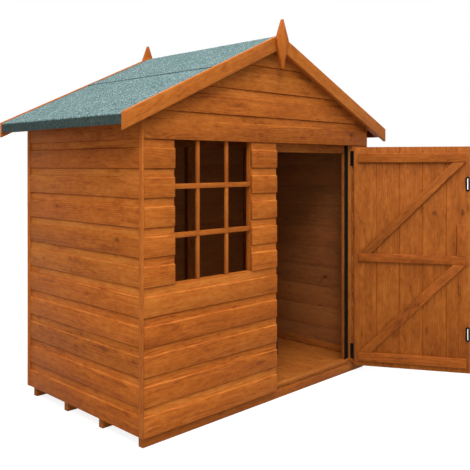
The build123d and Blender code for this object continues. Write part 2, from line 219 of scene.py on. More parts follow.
def stained_softwood(name, pale, middle, deep, roughness, sawn, figure):
    """Softwood under a see-through stain: soft growth rings, knots, streaks and a tone for each board.

    The piece's attribute grain holds a place in its own log, in metres: along, across, deep. sawn
    is how much the fibres stand up, and figure how much the rings and knots show.
    """
    ring_wide = 0.0090
    material, graph, shader = new_material(name)
    along, across, deep_in = graph.split(graph.kept("grain", "Vector"))
    rise, depth, stain = graph.split(graph.kept("profile", "Vector"))
    tone, warmth, shade, end_grain = [
        graph.num(graph.kept(own)) for own in ("tone", "warmth", "shade", "end_grain")]

    def drawn_out(lengthwise, crosswise, shift=0.0, detail=2, rough=0.5):
        """Noise drawn out along the grain, by its two scales."""
        spot = graph.vector(along * lengthwise, across * crosswise, deep_in * crosswise + shift)
        return graph.noise(spot, detail=detail, roughness=rough)

    # Painted light and shade of a shiplap section, added to the piece's shade
    outside = depth.smooth(cove_deep + 0.0016, cove_deep + 0.0008)
    # Hollow: a random stain, paler on average, partly painted light against the hollow's own shade
    hollow = rise.smooth(cove_lip + 0.004, cove_lip + 0.008) * outside
    # Lap: painted shadow, a dark line at the top of the hollow under the next board
    lap = rise.smooth(board_cover - 0.0048, board_cover - 0.0032) * outside
    # Lip: painted highlight, a dashed pale line where the lip would catch light
    lip = rise.smooth(cove_lip - 0.0022, cove_lip - 0.001)
    lip = lip * rise.smooth(cove_lip + 0.004, cove_lip + 0.001) * outside
    # Inner face: painted shade, darker for the dark inside of the shed
    inner = depth.smooth(clad_thick - 0.0014, clad_thick - 0.0006)
    painted_lip_highlight = graph.noise(graph.vector(along * 7.0, 0.0, deep_in * 4.0)).smooth(0.4, 0.6, 0.04, 0.26)
    shade = shade + hollow * (-stain * 0.2 + 0.02) + lap * 0.3 - lip * painted_lip_highlight + inner * 0.14

    # Knots, each with a halo that pushes the rings aside
    knot_place = graph.vector(along * 4.6, across * 7.5, deep_in * 3.0)
    knots = graph.add("ShaderNodeTexVoronoi", {"Vector": knot_place, "Scale": 1.0, "Randomness": 0.95})
    knot_far = graph.num(knots.outputs["Distance"])
    keep = graph.split(knots.outputs["Color"])[0].smooth(0.4, 0.6)
    ragged = graph.noise(graph.vector(along * 60, across * 90, deep_in * 40))
    knot = (knot_far + (ragged - 0.5) * 0.07).smooth(0.11, 0.045) * keep
    halo = knot_far.smooth(0.42, 0.08) * keep

    # Rings round the middle of the log, dark where their wood grew late
    drift, wander = drawn_out(1.5, 6, detail=1.5), drawn_out(5.0, 24)
    bend = (drift - 0.5) * 0.075 + (wander - 0.5) * 0.014 + halo * 0.012
    radius = (across * across + deep_in * deep_in).math("SQRT") + bend
    ring = (radius / ring_wide).math("FRACT")
    patches = drawn_out(2.0, 14, 3.0, detail=1).smooth(0.35, 0.65)
    late = ring.smooth(0.25, 0.95) * ring.smooth(1.0, 0.9) * patches

    streaks = drawn_out(2.6, 62, detail=4, rough=0.62)
    fibres = drawn_out(16, 560)
    blotch = drawn_out(5.0, 15, detail=3, rough=0.55)
    cloud = drawn_out(1.7, 4.0, 7.0)
    marks = drawn_out(11, 30, 5.0, detail=3, rough=0.6)
    mottle = drawn_out(24, 60, detail=3, rough=0.6)
    flecks = drawn_out(34, 170, rough=0.6)

    # shade holds the painted light and shade of the piece and of its section: above 0 darker
    level = (tone - 0.5) * 0.15 + 0.52 - shade - end_grain * 0.16
    for uneven, amount in ((blotch, 0.42), (streaks, 0.42), (cloud, 0.25), (mottle, 0.5)):
        level = level + (uneven - 0.5) * amount
    level = level - flecks.smooth(0.54, 0.68) * 0.14 - marks.smooth(0.56, 0.7) * 0.17
    level = level - late * 0.2 * figure + (fibres - 0.5) * 0.2 - halo * 0.06
    colour = graph.ramp(level, [(0.06, deep), (0.5, middle), (0.94, pale)])
    colour = graph.mix(1.0, colour, graph.mix(warmth, (1.02, 0.97, 0.93), (0.98, 1.03, 1.07)), "MULTIPLY")
    # Painted shade of the inner face: a dull dark brown for the dark inside of the shed
    colour = graph.mix(inner * 0.5, colour, srgb(118, 82, 52))
    colour = graph.mix(knot * 0.8 * figure, colour, tuple(c * 0.45 for c in deep))
    rough = (fibres - 0.5) * 0.16 - late * 0.06 + roughness
    relief = late * 0.25 + fibres * sawn + streaks * 0.5 - knot * 0.4
    set_surface(graph, shader, colour, rough, 0.1, relief, 0.35, 0.0009)
    return material


def mineral_felt():
    """Green mineral-faced roofing felt: coloured chips over a dark bitumen ground, worn at a fold."""
    material, graph, shader = new_material("green_mineral_felt")
    place = graph.add("ShaderNodeTexCoord").outputs["Object"]
    chips = graph.add("ShaderNodeTexVoronoi", {"Vector": place, "Scale": 270.0})
    chip = graph.split(chips.outputs["Color"])[0]
    clumps = graph.noise(place, 60.0, 3.0, 0.65)
    clouds = graph.noise(place, 6.0, 3.0, 0.6)
    specks = graph.noise(place, 190.0, 1.0) - 0.5
    level = (chip - 0.5) * 0.75 + (clumps - 0.5) * 0.3 + (clouds - 0.5) * 0.3 + specks * 1.9 + 0.46
    colour = graph.ramp(level, [(0.0, srgb(38, 60, 62)), (0.42, srgb(76, 102, 104)),
                                (0.66, srgb(102, 126, 127)), (1.0, srgb(158, 175, 173))])
    bare = graph.num(graph.kept("worn")) * specks.smooth(-0.16, 0.16, 0.45, 0.94)
    colour = graph.mix(bare, colour, srgb(42, 50, 43))
    height = -graph.num(chips.outputs["Distance"]) + clumps * 0.8
    set_surface(graph, shader, colour, 0.92, 0.12, height, 0.4, 0.001)
    return material


def coated(name, colour, metallic, roughness, shine=0.5):
    """A metal, rubber or plastic surface with a fine uneven skin."""
    skin_scale = 900.0
    skin_depth = 0.00008
    material, graph, shader = new_material(name)
    place = graph.add("ShaderNodeTexCoord").outputs["Object"]
    skin = graph.noise(place, skin_scale)
    wear = graph.noise(place, skin_scale / 12, 3.0)
    pale = tuple(min(1, c * 1.5 + 0.01) for c in colour)
    tint = graph.mix(wear.smooth(0.45, 0.75, 0.0, 0.35), colour, pale)
    shader.inputs["Metallic"].default_value = metallic
    set_surface(graph, shader, tint, (wear - 0.5) * 0.25 + roughness, shine, skin, 0.4, skin_depth)
    return material


wood_tones = {
    "cladding": ((204, 127, 54), (174, 94, 31), (124, 57, 17), 0.62, 0.6, 1.0),
    "trim": ((200, 123, 52), (170, 92, 31), (126, 60, 18), 0.56, 0.3, 0.5),
    "door": ((192, 115, 46), (154, 82, 26), (102, 46, 12), 0.6, 0.4, 0.8),
    "frame": ((184, 114, 50), (152, 83, 30), (106, 50, 16), 0.68, 0.8, 0.7),
    "floor": ((186, 114, 50), (156, 85, 30), (108, 53, 16), 0.66, 0.7, 0.8),
}
finishes = {}
for part, (*tones, roughness, sawn, figure) in wood_tones.items():
    tones = [srgb(*tone) for tone in tones]
    finishes[f"{part}_wood"] = stained_softwood(f"{part}_stain", *tones, roughness, sawn, figure)
finishes.update({
    "roof_felt": mineral_felt(),
    "black_iron": coated("black_lacquered_iron", srgb(22, 18, 16), 0.3, 0.45, 0.2),
    "black_seal": coated("black_rubber", srgb(14, 13, 10), 0.0, 0.85, 0.1),
    "catch_case": coated("black_plastic", srgb(14, 12, 11), 0.0, 0.8, 0.05),
    "catch_plate": coated("bright_plated_steel", srgb(214, 211, 206), 0.85, 0.35),
})
nail_steel = coated("stained_over_nail", srgb(96, 54, 27), 0.1, 0.7, 0.1)
clout_zinc = coated("dulled_zinc", srgb(62, 70, 68), 0.4, 0.65)


# Pieces

def new_object(name, data):
    """An object in the scene that shows a mesh, a lamp or a camera."""
    thing = bpy.data.objects.new(name, data)
    bpy.context.scene.collection.objects.link(thing)
    return thing


def plain_mesh(name, points, faces=()):
    """A mesh straight from its points and faces."""
    mesh = bpy.data.meshes.new(name)
    mesh.from_pydata(points, [], faces)
    return mesh


def add_piece(name, mesh, slot, body, nodes=(), material=None):
    """An object of the building, in its finish, that moves with a body and stands for CAD nodes."""
    piece = new_object(name, mesh)
    mesh.materials.clear()
    mesh.materials.append(material or finishes[slot])
    mesh.polygons.foreach_set("material_index", [0] * len(mesh.polygons))
    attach(piece, body)
    if nodes:
        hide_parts(*nodes)


def loose_parts(mesh):
    """The vertex numbers of each separate solid in a mesh."""
    part_of = {v: [v] for v in range(len(mesh.vertices))}
    for edge in mesh.edges:
        small, big = sorted((part_of[v] for v in edge.vertices), key=len)
        if small is not big:
            big += small
            part_of.update(dict.fromkeys(small, big))
    return sorted(sorted(part) for part in {id(part): part for part in part_of.values()}.values())


def log_place(seed):
    """Where in a log a board is cut from, how pale and warm it is, and how its hollow is stained."""
    dice = random.Random(seed)
    deep = dice.choice((-1, 1)) * dice.uniform(0.012, 0.07)
    cut = (dice.uniform(0, 40), dice.uniform(-0.09, 0.05), deep)
    return cut, dice.random(), dice.random(), dice.random()


def keep_values(mesh, name, values, domain="POINT"):
    """Store a number or a vector for each vertex or face of a mesh, for its material."""
    vector = values.ndim == 2
    attribute = mesh.attributes.new(name, "FLOAT_VECTOR" if vector else "FLOAT", domain)
    attribute.data.foreach_set("vector" if vector else "value", values.astype(np.float32).ravel())


def mark_grain(mesh, key, axes=None, row=None, shiplap=False, shade=0.0):
    """Give each board of a mesh its place in a log, its tone and its warmth.

    axes are the directions along and across; row tells the boards of a wall apart, so that a
    board cut by an opening goes on beyond it. Without axes, the longest way through gives them.
    A shiplap board also keeps how high and how deep each point lies in its section, and how much
    stain its hollow took. shade is painted shade that darkens a whole piece, or below 0 makes it paler.
    """
    points = np.array([v.co for v in mesh.vertices])
    grain = np.zeros_like(points)
    profile = np.zeros_like(points)
    tones, warmths = np.zeros((2, len(points)))
    for number, part in enumerate(loose_parts(mesh)):
        own = points[part]
        along, across = axes or timber_axes(own)
        deep = np.cross(along, across)
        cut, tone, warmth, stain = log_place(f"{key} {row(own) if row else number}")
        middle = own.mean(0)
        if row:
            middle[2] = own[:, 2].min()
        grain[part] = np.stack([own @ along + cut[0], (own - middle) @ across + cut[1],
                                (own - middle) @ deep + cut[2]], axis=1)
        tones[part] = tone
        warmths[part] = warmth
        if shiplap:
            up = own[:, 2] - own[:, 2].min()
            profile[part] = np.stack([up, own[:, 1], np.full(len(up), stain)], axis=1)
    ends = np.zeros(len(mesh.polygons))
    if axes:
        facing = np.array([face.normal for face in mesh.polygons])
        ends = (np.abs(facing @ axes[0]) > 0.8).astype(float)
    keep_values(mesh, "end_grain", ends, "FACE")
    for name, values in (("grain", grain), ("profile", profile), ("tone", tones), ("warmth", warmths),
                         ("shade", np.full(len(points), shade))):
        keep_values(mesh, name, values)


def timber_axes(points):
    """Directions along and across a straight timber, from the spread of its corners."""
    spread = points - points.mean(0)
    directions = np.linalg.svd(spread, full_matrices=False)[2]
    return directions[0], directions[1]


def write_mesh(work, mesh):
    """Turn the faces of a bmesh outward and write it into a mesh."""
    bmesh.ops.recalc_face_normals(work, faces=work.faces)
    work.to_mesh(mesh)
    work.free()
    return mesh


def join_meshes(name, meshes):
    """One mesh of several, which are then removed."""
    work = bmesh.new()
    for mesh in meshes:
        work.from_mesh(mesh)
        bpy.data.meshes.remove(mesh)
    return write_mesh(work, bpy.data.meshes.new(name))


def smooth_faces(mesh, sharpest):
    """Shade a mesh smooth, but for edges over so many degrees."""
    for face in mesh.polygons:
        face.use_smooth = True
    mesh.set_sharp_from_angle(angle=math.radians(sharpest))
    return mesh


def soften(mesh, arris, segments=2, sharpest=28):
    """Round the arrises of a mesh with flat faces."""
    work = bmesh.new()
    work.from_mesh(mesh)
    bmesh.ops.remove_doubles(work, verts=work.verts, dist=2e-5)
    bmesh.ops.dissolve_limit(work, angle_limit=math.radians(0.5), verts=work.verts, edges=work.edges)
    sharp = [e for e in work.edges
             if len(e.link_faces) == 2 and e.calc_face_angle() > math.radians(sharpest)]
    bmesh.ops.bevel(work, geom=sharp, offset=arris, offset_type="OFFSET", segments=segments,
                    profile=0.5, affect="EDGES", clamp_overlap=True)
    return smooth_faces(write_mesh(work, mesh), 32)


def eased_copy(node, arris, ending, shade=0.0):
    """The solids of a CAD node with their arrises eased, in timber with its own grain or in metal."""
    mesh = soften(frame["nodes"][node].data.copy(), arris)
    if node_slot[node].endswith("wood"):
        mark_grain(mesh, node, shade=shade)
    add_piece(f"{node}_{ending}", mesh, node_slot[node], node_body[node], [node])


# Rows of boards, by Geometry Nodes

def new_tree(name, inputs):
    """A Geometry Nodes tree's graph and its input sockets: geometry, then inputs of these kinds."""
    tree = bpy.data.node_groups.new(name, "GeometryNodeTree")
    for label, kind in (("Geometry", "Geometry"), *inputs.items()):
        tree.interface.new_socket(label, in_out="INPUT", socket_type=f"NodeSocket{kind}")
    tree.interface.new_socket("Geometry", in_out="OUTPUT", socket_type="NodeSocketGeometry")
    graph = Graph(tree)
    return graph, graph.add("NodeGroupInput").outputs


def end_tree(graph, geometry, finish):
    """Make a tree's instances real, set their finish, and give the tree back."""
    whole = graph.add("GeometryNodeRealizeInstances", {0: geometry})
    done = graph.add("GeometryNodeSetMaterial", {"Geometry": whole, "Material": finish})
    graph.add("NodeGroupOutput", {0: done})
    return graph.tree


def wall_of_boards():
    """Geometry Nodes: one board section, repeated up a wall and cut to the wall's outline."""
    names = ("Cover", "Foot", "Top", "Left", "Right", "Apex", "Slope", "Uneven")
    graph, given = new_tree("rows_of_boards", {
        **dict.fromkeys(names, "Float"), "Rows": "Int", "Seed": "Int", "Finish": "Material"})
    value = {name: graph.num(given[name]) for name in names}

    raised = graph.add("GeometryNodeExtrudeMesh", {
        "Mesh": given["Geometry"], "Offset": graph.vector(1.0, 0.0, 0.0), "Offset Scale": 1.0,
        "Individual": False})
    start = graph.add("GeometryNodeFlipFaces", {0: given["Geometry"]})
    board = graph.add("GeometryNodeJoinGeometry")
    for half in (raised, start):
        plug(graph.tree, half, board.inputs[0])
    solid = graph.add("GeometryNodeMergeByDistance", {"Geometry": board, "Distance": 1e-5})

    rows = graph.add("GeometryNodeMeshLine", {
        "Count": given["Rows"], "Start Location": graph.vector(0.0, 0.0, value["Foot"]),
        "Offset": graph.vector(0.0, 0.0, value["Cover"])})
    laid = graph.add("GeometryNodeInstanceOnPoints", {"Points": rows, "Instance": solid})
    number = graph.add("GeometryNodeInputIndex")
    uneven = graph.add("FunctionNodeRandomValue", {"ID": number, "Seed": given["Seed"]},
                       data_type="FLOAT")
    slack = (graph.num(uneven.outputs[1]) - 0.5) * value["Uneven"]
    named = graph.add("GeometryNodeStoreNamedAttribute", {
        "Geometry": laid, "Name": "slack", "Value": slack}, data_type="FLOAT", domain="INSTANCE")
    real = graph.add("GeometryNodeRealizeInstances", {0: named})

    x, y, z = graph.split(graph.add("GeometryNodeInputPosition"))
    height = z.least(value["Top"]).least(value["Apex"])
    reach = ((value["Apex"] - height) / value["Slope"]).most(0.0)
    kept = graph.add("GeometryNodeInputNamedAttribute", {"Name": "slack"}, data_type="FLOAT")
    own = graph.num(kept.outputs[0])
    left = (value["Left"] - own).most(-reach)
    right = (value["Right"] + own).least(reach)
    spot = graph.vector(left + (right - left) * x, y, height)
    cut = graph.add("GeometryNodeSetPosition", {"Geometry": real, "Position": spot})
    clean = graph.add("GeometryNodeMergeByDistance", {"Geometry": cut, "Distance": 1e-5})
    return end_tree(graph, clean, given["Finish"])


board_tree = wall_of_boards()


def run_tree(base, tree, values):
    """The mesh that a Geometry Nodes tree makes of a base mesh with these inputs."""
    carrier = new_object("working", base)
    modifier = carrier.modifiers.new("work", "NODES")
    modifier.node_group = tree
    for item in tree.interface.items_tree:
        if item.in_out == "INPUT" and item.name in values:
            modifier[item.identifier] = values[item.name]
    view = bpy.context.evaluated_depsgraph_get()
    mesh = bpy.data.meshes.new_from_object(carrier.evaluated_get(view), depsgraph=view)
    carrier.modifiers.remove(modifier)
    bpy.data.objects.remove(carrier)
    bpy.data.meshes.remove(base)
    return mesh


def shiplap_section():
    """Shiplap board: flat face, a hollow above it, and a tongue behind the next board's rebate."""
    turn = math.acos(1 - cove_deep / cove_curve)
    hollow = [(cove_deep - cove_curve * (1 - math.cos(turn * i / 5)),
               cove_lip + cove_curve * (math.sin(turn) - math.sin(turn * i / 5))) for i in range(6)]
    behind = cove_deep + 0.0005
    top = board_cover + lap_height - 0.0015
    return [(0, 0), (behind, 0), (behind, lap_height), (clad_thick, lap_height), (clad_thick, top),
            (cove_deep, top)] + hollow


def matched_section(cover, thick, vee, bead=0):
    """Tongued board with a V at each joint, and perhaps a fine groove up the middle of its faces."""
    half = cover / 2
    groove = [(thick, half - bead), (thick - bead, half), (thick, half + bead)] if bead else []
    front = [(0, half + bead), (bead, half), (0, half - bead)] if bead else []
    head = [(thick, cover - vee), (thick - vee, cover), (vee, cover), (0, cover - vee)]
    return [(vee, 0), (thick - vee, 0), (thick, vee)] + groove + head + front + [(0, vee)]


def board_wall(node, outline, place, ends, rows, foot, key, name=None, cover=board_cover,
               top=out_of_reach, apex=out_of_reach, uneven=0.0, arris=0.0007, shiplap=False):
    """One wall, floor or door leaf of boards, laid by the tree and put in its place.

    outline is a board's section, in (depth, height) points.
    """
    slot = node_slot[node]
    section = plain_mesh("section", [(0, y, z) for y, z in outline], [range(len(outline))])
    mesh = run_tree(section, board_tree, {
        "Cover": cover, "Foot": foot, "Top": top, "Left": ends[0], "Right": ends[1], "Apex": apex,
        "Slope": roof_slope, "Uneven": uneven, "Rows": rows, "Seed": 7, "Finish": finishes[slot]})
    soften(mesh, arris, sharpest=40)
    mark_grain(mesh, key, (np.array((1.0, 0, 0)), np.array((0, 0, 1.0))),
               lambda own: round((own[:, 2].min() - clad_foot) / cover), shiplap)
    mesh.transform(place)
    add_piece(name or f"{node}_laid", mesh, slot, node_body[node], [node])


def turned(angle, origin):
    """Place of a wall: turned about the upright, with its outer face through the origin."""
    return Matrix.Translation(origin) @ Matrix.Rotation(math.radians(angle), 4, "Z")


def basis(along, inward, up, origin):
    """Place of a board surface from the directions of its run, its thickness and its rows."""
    turn = Matrix((along, inward, up)).transposed().to_4x4()
    return Matrix.Translation(origin) @ turn


def roof_under(x):
    """Height of the underside of the roof boards."""
    return roof_under_apex - roof_slope * abs(x)


wall_places = {
    "front": turned(0, (0, front_face, 0)), "back": turned(180, (0, back_face, 0)),
    "left": turned(-90, (-half_width, middle_y, 0)), "right": turned(90, (half_width, middle_y, 0))}


def make_walls():
    """The four clad walls, board for board. The boards below the sill run on past the window."""
    section = shiplap_section()
    inner = half_width - strip_front
    reach = (back_face - front_face) / 2 - strip_side

    def clad(wall, name, node, ends, rows, foot, **limits):
        board_wall(node, section, wall_places[wall], ends, rows, foot, wall, name, shiplap=True,
                   **limits)

    for part, ends, rows, foot, top in (
            ("below_window", (-inner, door_left), 5, clad_foot, sill_line),
            ("left", (-inner, window_left), 5, sill_line, out_of_reach),
            ("pier", (window_right, door_left), 5, sill_line, out_of_reach),
            ("right", (door_right, inner), 10, clad_foot, out_of_reach)):
        clad("front", f"front_boards_{part}", f"front_cladding_{part}", ends, rows, foot, top=top,
             uneven=end_slack)
    clad("front", "front_boards_gable", "front_gable_cladding", (-inner, inner), 5, gable_line,
         apex=roof_under_apex)
    clad("back", "back_boards", "back_cladding", (-inner, inner), 15, clad_foot, apex=roof_under_apex)
    for side in ("left", "right"):
        clad(side, f"{side}_boards", f"{side}_cladding", (-reach, reach), 12, clad_foot,
             top=roof_under(half_width))


def make_floor_boards():
    """Tongued floor boards from front to back."""
    low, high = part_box("floor_boards")
    rows = 13
    cover = (high.x - low.x) / rows
    section = matched_section(cover, high.z - low.z, vee=0.0011)
    place = basis((0, 1, 0), (0, 0, -1), (-1, 0, 0), (high.x, 0, high.z))
    board_wall("floor_boards", section, place, (low.y, high.y), rows, 0.0, "floor", cover=cover)


def make_roof_boards():
    """Tongued boards of the two slopes, from gable to gable."""
    rows = 8
    for side, sign in (("left", -1), ("right", 1)):
        low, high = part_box(f"roof_boards_{side}")
        span = max(abs(low.x), abs(high.x))
        cover = span / pitch_run / rows
        up = Vector((-sign * pitch_run, 0, pitch_rise))
        inward = Vector((-sign * pitch_rise, 0, -pitch_run))
        eaves = Vector((sign * span, middle_y, high.z - roof_slope * span))
        half = (high.y - low.y) / 2
        board_wall(f"roof_boards_{side}", matched_section(cover, clad_thick, vee=0.002),
                   basis(inward.cross(up), inward, up, eaves), (-half, half), rows, 0.0,
                   f"roof {side}", cover=cover, arris=0.0004)


def door_place():
    """From the shut door to where it stands open at rest."""
    turn = Matrix.Rotation(door_open, 4, "Z")
    return Matrix.Translation(door_pin) @ turn @ Matrix.Translation(-door_pin)


def shut_box(node):
    """Box of a door node, measured with the door shut."""
    back = door_place().inverted()
    points = np.array([back @ v.co for v in frame["nodes"][node].data.vertices])
    return Vector(points.min(0)), Vector(points.max(0))


def make_door_boards():
    """Upright matched boards with V joints."""
    low, high = shut_box("door_boards")
    cover = (high.x - low.x) / door_rows
    section = matched_section(cover, high.y - low.y, vee=0.0034, bead=0.0016)
    shut = basis((0, 0, 1), (0, 1, 0), (-1, 0, 0), (high.x, low.y, 0))
    board_wall("door_boards", section, door_place() @ shut, (low.z, high.z), door_rows, 0.0, "door",
               cover=cover)


# Joinery

def block(x0, x1, y0, y1, z0, z1):
    """A straight bar between two corners, as a mesh with sharp edges."""
    work = bmesh.new()
    bmesh.ops.create_cube(work, size=1)
    size = Matrix.Diagonal((x1 - x0, y1 - y0, z1 - z0, 1))
    middle = Matrix.Translation(((x0 + x1) / 2, (y0 + y1) / 2, (z0 + z1) / 2))
    bmesh.ops.transform(work, matrix=middle @ size, verts=work.verts)
    return write_mesh(work, bpy.data.meshes.new("bar"))


def make_window_bars():
    """Two bars across the window, and between them two uprights, set a little back."""
    front = front_face + 0.011
    bar_deep = 0.015
    bar_heights = [(0.811, 0.832), (1.011, 1.032)]
    upright_places = [0.300 - half_width, 0.469 - half_width]
    upright_half = 0.008
    upright_depths = (front + 0.002, front + 0.013)
    boxes = [(window_left, window_right, front, front + bar_deep, *heights) for heights in bar_heights]
    stops = [sill_line] + [z for pair in bar_heights for z in pair] + [gable_line]
    boxes += [(x - upright_half, x + upright_half, *upright_depths, *heights)
              for x in upright_places for heights in zip(stops[::2], stops[1::2])]
    bars = soften(join_meshes("window_bars", [block(*spot) for spot in boxes]), 0.0012)
    mark_grain(bars, "window bars")
    add_piece("window_bars", bars, "trim_wood", "root")


def make_timbers():
    """Every stud, rail, batten and trim of the frame, with eased arrises."""
    planed_arris, sawn_arris = 0.0018, 0.001
    planed = {"bargeboards_left", "bargeboards_right", "finials", "corner_strips", "door_ledges",
              "door_braces", "door_lock_block", "door_threshold", "door_stops", "door_head_stop",
              "window_jambs", "window_sill_and_head"}
    # Painted light and shade for each timber, added to its shade: above 0 darker, below 0 paler
    # Door posts: painted light. Studs, rails and gable studs: painted shade inside the shed.
    # Eaves battens: painted shade under the felt fold. Threshold and bearers: only a little paler.
    painted_light_and_shade = {"door_posts": -0.3, "door_threshold": -0.2, "bearers": -0.05, "back_wall_studs": 0.12,
                 "back_wall_rails": 0.12, "gable_studs": 0.2, "eaves_battens": 0.5}
    for node in sorted(frame["nodes"]):
        laid = "cladding" in node or "_boards" in node
        if node_slot[node].endswith("wood") and not laid:
            arris = planed_arris if node in planed else sawn_arris
            eased_copy(node, arris, "timber", painted_light_and_shade.get(node, 0.0))


# Roof felt

def bend_corners(points, radius):
    """A line of (x, z) points with its inner corners eased by a curve, where there is room for one."""
    steps = 5
    line = [Vector(points[0])]
    for before, corner, after in zip(points, points[1:], points[2:]):
        before, corner, after = Vector(before), Vector(corner), Vector(after)
        if min((corner - before).length, (corner - after).length) < 1.5 * radius:
            line.append(corner)
            continue
        start = corner + (before - corner).normalized() * radius
        end = corner + (after - corner).normalized() * radius
        for i in range(steps + 1):
            t = i / steps
            line.append(start * (1 - t) ** 2 + corner * 2 * t * (1 - t) + end * t ** 2)
    line.append(Vector(points[-1]))
    return line


def divided(line, length):
    """The same line with no run longer than a length."""
    out = [line[0]]
    for a, b in zip(line, line[1:]):
        count = max(1, math.ceil((b - a).length / length))
        out += [a.lerp(b, (i + 1) / count) for i in range(count)]
    return out


def felt_sheet(name, line, low_y, high_y, ragged_first, ragged_last, worn_from, seed):
    """A sheet of felt laid along a line of (x, z) points, a little uneven, with two cut edges.

    The edges at the ends of the line wander by the ragged lengths. The felt is worn below the
    height worn_from, or where that is None at its cut edges.
    """
    steps = 72
    line = divided(bend_corners(line, 0.006), 0.03)
    slopes = [(b - a).normalized() for a, b in zip(line, line[1:])]
    slopes = [slopes[0]] + [(a + b).normalized() for a, b in zip(slopes, slopes[1:])] + [slopes[-1]]
    last = len(line) - 1
    vertices, worn = [], []
    for j in range(steps + 1):
        y = low_y + (high_y - low_y) * j / steps
        first_wave, last_wave = [
            abs(noise.noise((y * slow, seed, lane)) + 0.4 * noise.noise((y * quick, seed, next_lane)))
            for slow, lane, quick, next_lane in ((7, 1.0, 31, 4.0), (8, 9.0, 29, 6.0))]
        for i, (spot, way) in enumerate(zip(line, slopes)):
            out = Vector((-way.y, way.x))
            out *= 1 if out.y > 0 or abs(out.y) < 1e-6 and out.x * spot.x > 0 else -1
            if i == 0:
                spot = spot + way * first_wave * ragged_first
            if i == last:
                spot = spot - way * last_wave * ragged_last
            lift = noise.noise((spot.x * 6, y * 6, seed)) * 0.0007 - 0.0005
            rubbed = i in (0, last) if worn_from is None else spot.y < worn_from
            for depth in (0.0, felt_thick):
                place = spot + out * (lift - depth)
                vertices.append((place.x, y, place.y))
                worn.append(float(rubbed))
    width = 2 * len(line)
    faces = []
    for lines, spots, corners in (
            (range(steps), range(last), (0, 2, width + 2, width)),
            (range(steps), range(last), (1, width + 1, width + 3, 3)),
            (range(steps), (0, last), (0, 1, width + 1, width)),
            ((0, steps), range(last), (0, 1, 3, 2))):
        faces += [[j * width + 2 * i + corner for corner in corners] for j in lines for i in spots]
    mesh = plain_mesh(name, vertices, faces)
    work = bmesh.new()
    work.from_mesh(mesh)
    smooth_faces(write_mesh(work, mesh), 40)
    keep_values(mesh, "worn", np.array(worn))
    return mesh


def roof_top(x, layers):
    """Height of the roof boards' top, or of so many layers of felt on it."""
    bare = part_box("roof_boards_left")[1].z
    return bare + layers * felt_thick / pitch_run - roof_slope * abs(x)


def make_roof_felt():
    """A strip of felt folded down over each eaves, and a strip over the ridge that laps them."""
    low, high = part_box("roof_felt_eaves")
    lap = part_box("roof_felt_ridge")[1].x
    inner = lap - lap_wide * pitch_run
    edge = high.x
    worn_from = roof_top(edge, 1) - 0.004
    strips = []
    for sign in (-1, 1):
        line = [(sign * x, z) for x, z in (
            (inner, roof_top(inner, 1)), (edge, roof_top(edge, 1)), (edge, low.z))]
        strips.append(felt_sheet("strip", line, low.y, high.y, 0.0, 0.0008, worn_from, 2.5 + sign))
    add_piece("felt_over_eaves", join_meshes("felt_over_eaves", strips), "roof_felt", "root",
              ["roof_felt_eaves"])
    bend, step = 0.003, 0.012
    half = [(lap, 2), (lap - bend, 2), (inner, 2), (inner - step, 1)]
    line = [(-x, roof_top(x, layers)) for x, layers in half] + [(0, roof_top(0, 1))]
    line += [(x, roof_top(x, layers)) for x, layers in reversed(half)]
    cap = felt_sheet("felt_over_ridge", line, low.y, high.y, 0.0022, 0.0022, None, 8.5)
    add_piece("felt_over_ridge", cap, "roof_felt", "root", ["roof_felt_ridge"])


# Ironmongery

def lofted(name, loops):
    """A closed mesh through loops of as many points each, capped at both ends."""
    work = bmesh.new()
    rings = [[work.verts.new(p) for p in loop] for loop in loops]
    for a, b in zip(rings, rings[1:]):
        for i in range(len(a)):
            work.faces.new((a[i], a[i - 1], b[i - 1], b[i]))
    work.faces.new(rings[0])
    work.faces.new(rings[-1])
    return smooth_faces(write_mesh(work, bpy.data.meshes.new(name)), 35)


def oval(x, y, z, wide, tall):
    """Points round an upright oval with straight sides, facing along Y."""
    steps = 10
    radius = wide / 2
    straight = (tall - wide) / 2
    points = []
    for i in range(2 * steps):
        angle = math.pi * (i + 0.5) / steps
        end = straight if math.sin(angle) > 0 else -straight
        points.append((x + radius * math.cos(angle), y, z + end + radius * math.sin(angle)))
    return points


def make_keepers():
    """Oval keeper plates of the catches, each in a dark rim on the door."""
    low, high = shut_box("door_catch_plates")
    x = (low.x + high.x) / 2
    wide = high.x - low.x
    face = high.y
    rim_wide = 0.0082
    hole = 2 * rim_wide
    # Rings of each piece: where it lies from front to back, and how much smaller than the keeper it is
    rim = ((low.y, 0), (face - 0.0010, 0), (face - 0.0003, 0.0008), (face, 0.0022),
           (face, hole - 0.0010), (face - 0.0004, hole), (face - 0.0016, hole))
    plate = ((face - 0.0016, hole + 0.0004), (face - 0.0009, hole + 0.0004),
             (face - 0.0006, hole + 0.0012))
    for name, rings, slot, nodes in (("catch_rims", rim, "catch_case", ["door_catch_plates"]),
                                     ("catch_keepers", plate, "catch_plate", ())):
        mesh = join_meshes(name, [
            lofted(name, [oval(x, y, z, wide - less, catch_tall - less) for y, less in rings])
            for z in (low.z + catch_tall / 2, high.z - catch_tall / 2)])
        mesh.transform(door_place())
        add_piece(name, mesh, slot, node_body["door_catch_plates"], nodes)


